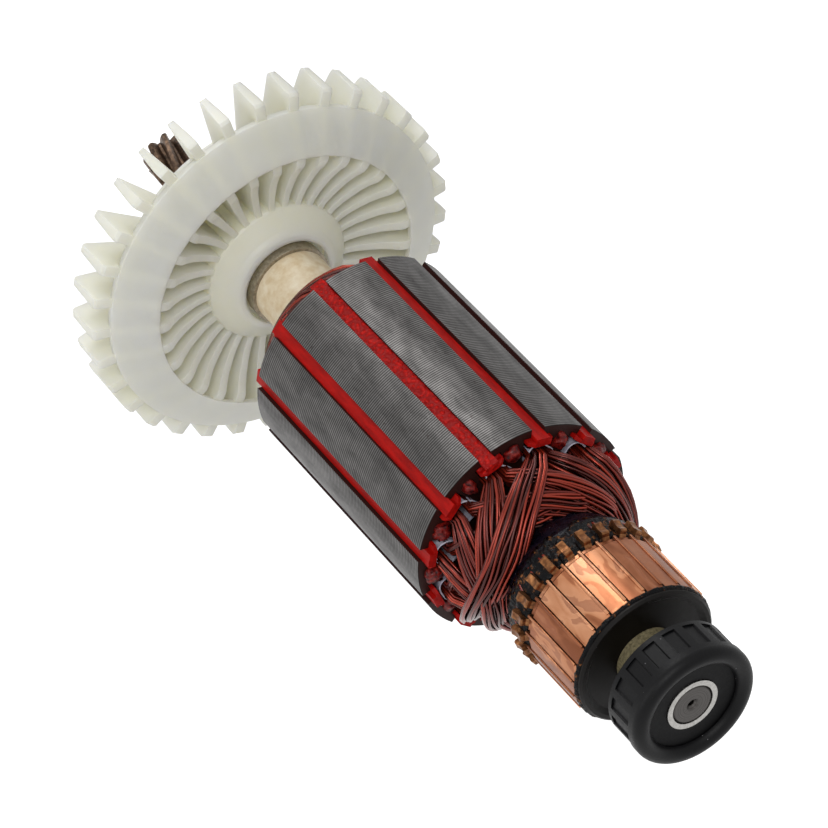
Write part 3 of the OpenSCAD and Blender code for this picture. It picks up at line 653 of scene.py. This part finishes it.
def wire_path(slot, number, head_name, rng):
    station, direction, crest = HEADS[head_name]
    late = order(slot)
    inner = number >= OUTER_WIRES
    spread = 2 * math.pi * (number + rng.uniform(-STRAY, STRAY)) / (INNER_WIRES if inner else OUTER_WIRES)
    drift = rng.uniform(-STRAY, STRAY)
    wave, pace = rng.uniform(0, ONE_TURN), rng.uniform(*WAVES_ON_A_WIRE)
    sunk = INNER_REACH if inner else (SUNK_REACH if number % 2 else 1.0)
    points = []
    for step in range(-1, STEPS + 2):
        t = max(0, min(STEPS, step)) / STEPS
        side, up = coil_frame(t, late, crest)
        width = BUNDLE_W / 2 * mix(END_WIDTH, 1, math.sqrt(swell(t)))
        depth = BUNDLE_T / 2 * mix(END_THICKNESS, 1, swell(t))
        turn = spread + drift * (t - 0.5) + WAVE * math.sin(wave + pace * ONE_TURN * t)
        reach = sunk if inner else mix(sunk, 1.0, min(1, RISE_BACK * swell(t)))
        off_middle = (side * math.cos(turn) * width + up * math.sin(turn) * depth) * reach
        place = coil_point(t, late, crest) + off_middle
        if step < 0 or step > STEPS:
            place.z = -INTO_SLOT
        points.append(onto_stack(place, slot, station, direction))
    return points


print("points on a wire:", len(wire_path(0, 0, "front", random.Random(0))))

# %% [markdown]
# ## The coils' wires
#
# A wire is a curve with a round bevel: a spline costs a few points, and
# Blender makes the tube and closes its ends. The wires of all bundles on one
# end of the stack are one piece, which replaces the solid winding.

# %% The coils' wires
WIRE_R = 0.3


def add_wires(name, paths):
    data = bpy.data.curves.new(name, "CURVE")
    data.dimensions = "3D"
    data.bevel_depth = WIRE_R * MM
    data.bevel_resolution = 1
    data.use_fill_caps = True
    for points in paths:
        wire = data.splines.new("POLY")
        wire.points.add(len(points) - 1)
        for knot, point in zip(wire.points, points):
            knot.co = (*point, 1.0)
        wire.use_smooth = True
    data.materials.append(enamel)
    piece = bpy.data.objects.new(name, data)
    bpy.context.scene.collection.objects.link(piece)
    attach(piece, "rotor")
    print(name, len(paths), "wires")
    return piece


for head_name, seed in (("front", 17), ("back", 29)):
    rng = random.Random(seed)
    bundle = range(OUTER_WIRES + INNER_WIRES)
    paths = [wire_path(slot, number, head_name, rng) for slot in range(SLOTS) for number in bundle]
    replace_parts(add_wires(f"wires_{head_name}", paths), "winding")

# %% [markdown]
# ## The wires' ends at the hooks
#
# Two wire ends come out of the sealed back of the commutator and run under
# each hook, a degree or two to either side of its middle. They are short
# curves too, with their own small lift and lean.

# %% The wires' ends
END_BACK, END_FRONT, END_STEPS = -34.6, -30.0, 6
END_RING, END_RISE, END_SIDE = 12.6, 0.9, 1.6
LEAN, LIFT = (-1.0, 2.5), (-0.3, 0.2)
END_SEED = 11

rng = random.Random(END_SEED)
paths = []
for hook in range(BARS):
    for side in (-1, 1):
        lean, lift = rng.uniform(*LEAN) * side, rng.uniform(*LIFT)
        points = []
        for step in range(END_STEPS + 1):
            t = step / END_STEPS
            turn = math.radians(BAR_PHASE + hook * BAR_STEP + END_SIDE * side + lean * (1 - t) ** 2)
            radius = END_RING + lift + END_RISE * math.sin(math.pi * t * 0.6)
            x = mix(END_BACK, END_FRONT, t)
            points.append(Vector((x, radius * math.cos(turn), radius * math.sin(turn))) * MM)
        paths.append(points)
add_wires("wire_ends", paths)

# %% [markdown]
# ## Red varnish
#
# The varnish that dripped over the ends of the teeth has set in dark red
# lumps. It is clear and glossy but full of dust, so a noise mixes its reds
# and dents the surface, and a thin coat keeps the wet shine.

# %% Red varnish
VARNISH_LUMP, VARNISH_RELIEF = 0.7, 0.35

red_varnish, place = start_finish("red_varnish_dripped")
mottle = add(red_varnish, "TexNoise", {"Vector": place, "Scale": 1 / VARNISH_LUMP, "Detail": 4.0})["Fac"]
reds = [(0.35, "#30070a"), (0.52, "#6a0f0c"), (0.72, "#93261d")]
tint = add(red_varnish, "ValToRGB", {"Fac": mottle}, reds)["Color"]
dented = {"Height": mottle, "Strength": 0.8, "Distance": VARNISH_RELIEF * MM}
bumped = add(red_varnish, "Bump", dented)["Normal"]
shader = add(
    red_varnish,
    "BsdfPrincipled",
    {
        "Base Color": tint,
        "Roughness": 0.35,
        "Specular IOR Level": 0.15,
        "Coat Weight": 0.15,
        "Coat Roughness": 0.08,
        "Normal": bumped,
    },
)
add(red_varnish, "OutputMaterial", {"Surface": shader["BSDF"]})
print(red_varnish.name, len(red_varnish.node_tree.nodes), "nodes")

# %% [markdown]
# ## From a bmesh to a piece
#
# The shapes below are made in millimetres with bmesh operators. One helper
# scales them to metres, smooths their shading, gives them a material and lets
# them ride on the rotor.

# %% From a bmesh to a piece
def link_piece(shape, name, material):
    bmesh.ops.scale(shape, verts=shape.verts, vec=(MM, MM, MM))
    for face in shape.faces:
        face.smooth = True
    mesh = bpy.data.meshes.new(name)
    shape.to_mesh(mesh)
    shape.free()
    mesh.materials.append(material)
    piece = bpy.data.objects.new(name, mesh)
    bpy.context.scene.collection.objects.link(piece)
    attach(piece, "rotor")
    print(name, len(mesh.polygons), "faces")
    return piece


# %% [markdown]
# ## Knots of varnish on the teeth
#
# The varnish on each tooth is a knobbly knot. It starts as an icosphere, its
# points are pushed in and out by a coarse and a fine noise, so that no two
# knots are alike, and it is flattened against the end of the tooth.

# %% Knots of varnish
KNOT_BELOW, KNOT_PROUD = 3.2, 0.25
KNOT_HALF_SIZES = ((1.1, 1.5), (1.5, 2.1), (1.2, 1.8))
KNOT_SEED = 5
COARSE, COARSE_PUSH, FINE, FINE_PUSH = 1.3, 0.42, 3.7, 0.16

for head_name, (station, direction, _) in HEADS.items():
    rng = random.Random(KNOT_SEED)
    shape = bmesh.new()
    for tooth in range(SLOTS):
        knot = bmesh.ops.create_icosphere(shape, subdivisions=3, radius=1.0)["verts"]
        seed = Vector([rng.uniform(0, 50) for _ in range(3)])
        for point in knot:
            coarse = COARSE_PUSH * noise.noise(point.co * COARSE + seed)
            point.co *= 1.0 + coarse + FINE_PUSH * noise.noise(point.co * FINE + seed)
        size = [rng.uniform(least, most) for least, most in KNOT_HALF_SIZES]
        turn = math.radians(SLOT_PHASE + (tooth + 0.5) * SLOT_STEP + rng.uniform(-1.0, 1.0))
        bmesh.ops.scale(shape, verts=knot, vec=size)
        middle = (station + direction * KNOT_PROUD, CORE_R - KNOT_BELOW, 0)
        bmesh.ops.translate(shape, verts=knot, vec=middle)
        bmesh.ops.rotate(shape, verts=knot, cent=(0, 0, 0), matrix=Matrix.Rotation(turn, 3, "X"))
    piece = link_piece(shape, f"varnish_knots_{head_name}", red_varnish)
    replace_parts(piece, f"varnish_beads_{head_name}")

# %% [markdown]
# ## Paper cuffs at the slots
#
# Each slot is lined with folded insulating paper that sticks out of the stack
# at both ends and opens into an oval cuff. A circle's edge is extruded
# outwards in four steps, each a little wider and more waved. Solidify gives
# the paper its thickness, and the whole cuff is then stretched to the slot's
# form and turned to its place. A row of CUFF gives a step's distance from the
# face of the stack in millimetres, and its width as a share of the slot's.

# %% Paper cuffs
CUFF = ((-INTO_SLOT, 0.97), (0.0, 0.98), (0.5, 1.0), (0.9, 1.04), (1.25, 1.12))
CUFF_HALF_W, CUFF_HALF_H, PAPER_T = 2.6, 2.45, 0.26
CUFF_SIDES, FOLDS, FOLD_DEPTH = 36, 3, 0.03

for slot in range(SLOTS):
    shape = bmesh.new()
    for station, direction, _ in HEADS.values():
        ring = bmesh.ops.create_circle(shape, cap_ends=False, segments=CUFF_SIDES, radius=1.0)["verts"]
        edges = list({edge for point in ring for edge in point.link_edges})
        for step, (past_face, wide) in enumerate(CUFF):
            if step:
                grown = bmesh.ops.extrude_edge_only(shape, edges=edges)["geom"]
                ring = [part for part in grown if isinstance(part, bmesh.types.BMVert)]
                edges = [part for part in grown if isinstance(part, bmesh.types.BMEdge)]
            for point in ring:
                side, out = point.co.yz.normalized() if step else point.co.xy
                wave = math.sin(FOLDS * math.atan2(out, side) + slot)
                fold = 1.0 + FOLD_DEPTH * wave * max(0, step - 1)
                point.co = (station + direction * past_face, side * wide * fold, out * wide * fold)
    bmesh.ops.recalc_face_normals(shape, faces=shape.faces)
    bmesh.ops.solidify(shape, geom=shape.faces[:], thickness=PAPER_T / CUFF_HALF_W)
    bmesh.ops.scale(shape, verts=shape.verts, vec=(1, CUFF_HALF_W, CUFF_HALF_H))
    bmesh.ops.translate(shape, verts=shape.verts, vec=(0, 0, (SLOT_IN + WEDGE_IN) / 2))
    turn = math.radians(SLOT_PHASE + slot * SLOT_STEP - 90)
    bmesh.ops.rotate(shape, verts=shape.verts, cent=(0, 0, 0), matrix=Matrix.Rotation(turn, 3, "X"))
    piece = link_piece(shape, f"slot_cuff_{slot + 1}", made["slot_liner_paper_folded"])
    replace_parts(piece, f"slot_liner_{slot + 1}")

# %% [markdown]
# ## Black resin
#
# The resin around the bars was squeezed out under heat and set black. Crumbs
# of copper from the turning stick in it as brown specks about a millimetre
# across; the lightest of them also stand in for glints, a painted highlight.
# It shines only in wet spots, where a second noise makes it smooth.

# %% Black resin
CRUMB, WET_SPOT, CRUMB_RELIEF = 1.1, 0.9, 0.4

resin, place = start_finish("black_resin_squeezed_out")
crumb_and_glint_noise = {"Vector": place, "Scale": 1 / CRUMB, "Detail": 3.0, "Roughness": 0.6}
mottle = add(resin, "TexNoise", crumb_and_glint_noise)["Fac"]
# The lightest brown at the top of the noise is partly copper crumbs and partly painted glints.
browns = [(0.48, "#020204"), (0.55, "#060404"), (0.6, "#2c180d"), (0.7, "#85552f")]
tint = add(resin, "ValToRGB", {"Fac": mottle}, browns)["Color"]
bumped = add(resin, "Bump", {"Height": mottle, "Strength": 0.9, "Distance": CRUMB_RELIEF * MM})["Normal"]
spots = add(resin, "TexNoise", {"Vector": place, "Scale": 1 / WET_SPOT, "Detail": 3.0})["Fac"]
wet = add(resin, "ValToRGB", {"Fac": spots}, [(0.5, 0.42), (0.58, 0.08)])["Color"]
shader = add(
    resin,
    "BsdfPrincipled",
    {"Base Color": tint, "Roughness": wet, "Specular IOR Level": 0.1, "Normal": bumped},
)
add(resin, "OutputMaterial", {"Surface": shader["BSDF"]})
print(resin.name, len(resin.node_tree.nodes), "nodes")

# %% [markdown]
# ## Resin between the hooks and at the bars' front
#
# The resin fills the space under and between the hooks, and a thin crust of it
# lies at the front of the bars. Each is a ring: a few points of its section,
# given as place along the shaft and radius, are spun once around the shaft,
# and a coarse and a fine noise then push the surface in and out by up to the
# last number.

# %% Resin rings
SPIN_STEPS = 240
COARSE_RIPPLE, FINE_RIPPLE = 0.9, 2.3
RINGS = {
    "resin_under_hooks": (
        [(-35.5, 12.9), (-34, 13.35), (-32, 13.55), (-30, 13.7), (-28.6, 13.6), (-28.2, 12.9)],
        0.4,
    ),
    "resin_at_bars_front": (
        [(-14.3, 13.3), (-14.0, 13.75), (-13.6, 13.8), (-13.3, 13.55), (-13.2, 13.2)],
        0.12,
    ),
}
for name, (section, rough) in RINGS.items():
    shape = bmesh.new()
    points = [shape.verts.new((x, radius, 0)) for x, radius in section]
    edges = [shape.edges.new(pair) for pair in zip(points, points[1:] + points[:1])]
    bmesh.ops.spin(
        shape,
        geom=points + edges,
        cent=(0, 0, 0),
        axis=(1, 0, 0),
        angle=2 * math.pi,
        steps=SPIN_STEPS,
        use_merge=True,
    )
    bmesh.ops.remove_doubles(shape, verts=shape.verts, dist=0.001)
    bmesh.ops.subdivide_edges(shape, edges=shape.edges, cuts=1, use_grid_fill=True)
    bmesh.ops.recalc_face_normals(shape, faces=shape.faces)
    for point in shape.verts:
        out = Vector((0, point.co.y, point.co.z)).normalized()
        coarse = noise.noise(point.co * COARSE_RIPPLE)
        point.co += out * rough * (coarse + 0.5 * noise.noise(point.co * FINE_RIPPLE))
    link_piece(shape, name, resin)

# %% [markdown]
# ## Burrs between the copper bars
#
# Turning the commutator dragged a thin ridge of copper along each groove, from
# just behind the turned band to just short of the bars' front. A cube is
# stretched to a strip for each groove and turned to its place beside it, and
# one bevel softens the edges of them all.

# %% Burrs
BAR_OUT_R, RIDGE_W, RIDGE_H = 13.8, 0.56, 0.5
RIDGE_BACK, RIDGE_FRONT = BAND_BACK - 0.2, BARS_FRONT - 0.7
RIDGE_SUNK, BESIDE_GROOVE, RIDGE_ROUND = 0.02, 1.1, 0.12

shape = bmesh.new()
for groove in range(BARS):
    strip = bmesh.ops.create_cube(shape, size=1.0)["verts"]
    bmesh.ops.scale(shape, verts=strip, vec=(RIDGE_FRONT - RIDGE_BACK, RIDGE_H, RIDGE_W))
    middle = ((RIDGE_FRONT + RIDGE_BACK) / 2, BAR_OUT_R - RIDGE_SUNK, 0)
    bmesh.ops.translate(shape, verts=strip, vec=middle)
    turn = math.radians(BAR_PHASE + (groove + 0.5) * BAR_STEP + BESIDE_GROOVE)
    bmesh.ops.rotate(shape, verts=strip, cent=(0, 0, 0), matrix=Matrix.Rotation(turn, 3, "X"))
bmesh.ops.bevel(
    shape,
    geom=shape.edges[:],
    offset=RIDGE_ROUND,
    offset_type="OFFSET",
    segments=2,
    profile=0.5,
    affect="EDGES",
    material=-1,
)
link_piece(shape, "groove_burrs", copper)

# %% [markdown]
# ## Studio lights
#
# Large soft lamps give the broad highlights of a product studio. The one
# behind sits where the shaft's round surfaces mirror it towards the camera,
# and draws the long highlight; the other two fill the front and the left. A
# row gives a lamp's place and size in metres, and its power in watts.

# %% Studio lights
MIDDLE = Vector((-0.04, 0.0, 0.0))
LAMPS = (
    ("back_softbox", Vector((-0.66, -0.06, 0.78)), (0.45, 0.3), 3.0),
    ("front_softbox", Vector((0.55, -0.45, 0.85)), (0.5, 0.5), 4.8),
    ("left_softbox", Vector((-0.1, -0.85, 0.3)), (0.4, 0.5), 1.6),
)
for name, place, size, power in LAMPS:
    data = bpy.data.lights.new(name, "AREA")
    data.shape = "RECTANGLE"
    data.size, data.size_y = size
    data.energy = power
    light = bpy.data.objects.new(name, data)
    turn = (place - MIDDLE).to_track_quat("Z", "Y").to_matrix().to_4x4()
    light.matrix_world = Matrix.Translation(place) @ turn
    bpy.context.scene.collection.objects.link(light)
    print(name, power, "W")

# %% [markdown]
# ## World
#
# The background is white to the eye, and metal and glass should mirror that
# same white, but as a light it would flood the part. So the world is white for
# camera, glossy and transmission rays, and a low grey for all others. The same
# choice is needed for the floor, so a helper makes its nodes.

# %% World
STUDIO_GREY = 0.34


def seen_by_eye(material):
    ray = add(material, "LightPath")
    direct = add(material, "Math", {0: ray["Is Camera Ray"], 1: ray["Is Glossy Ray"]}, operation="MAXIMUM")
    through = {0: direct["Value"], 1: ray["Is Transmission Ray"]}
    return add(material, "Math", through, operation="MAXIMUM")["Value"]


world = bpy.data.worlds.new("white_studio")
world.use_nodes = True
world.node_tree.nodes.clear()
studio = add(world, "Background", {"Color": colour("#ffffff"), "Strength": STUDIO_GREY})["Background"]
white = add(world, "Background", {"Color": colour("#ffffff"), "Strength": 1.0})["Background"]
choice = add(world, "MixShader", {0: seen_by_eye(world), 1: studio, 2: white})["Shader"]
add(world, "OutputWorld", {"Surface": choice})
bpy.context.scene.world = world
print("world", len(world.node_tree.nodes), "nodes")

# %% [markdown]
# ## Floor
#
# A pale paper below the part. For the eye and for mirrors, a glow is added to
# its diffuse white, so that it joins the background while its soft shadow
# stays. To diffuse light it is plain pale grey.

# %% Floor
FLOOR_DROP, FLOOR_HALF, GLOW = 60.0, 3000.0, 0.72

shape = bmesh.new()
bmesh.ops.create_grid(shape, x_segments=2, y_segments=2, size=FLOOR_HALF * MM)
bmesh.ops.translate(shape, verts=shape.verts, vec=(0, 0, cad_box[0].z - FLOOR_DROP * MM))
floor_mesh = bpy.data.meshes.new("floor")
shape.to_mesh(floor_mesh)
shape.free()
floor = bpy.data.objects.new("floor", floor_mesh)
bpy.context.scene.collection.objects.link(floor)

paper, _ = start_finish("white_floor_paper")
diffuse = add(paper, "BsdfDiffuse", {"Color": colour("#d8d8d8")})["BSDF"]
glow = add(paper, "Emission", {"Color": colour("#ffffff"), "Strength": GLOW})["Emission"]
lit = add(paper, "AddShader", {0: diffuse, 1: glow})["Shader"]
choice = add(paper, "MixShader", {0: seen_by_eye(paper), 1: diffuse, 2: lit})["Shader"]
add(paper, "OutputMaterial", {"Surface": choice})
floor_mesh.materials.append(paper)
bpy.context.scene.view_settings.view_transform = "Standard"
print("floor at", round(floor_mesh.vertices[0].co.z / MM, 1), "mm, below the part")
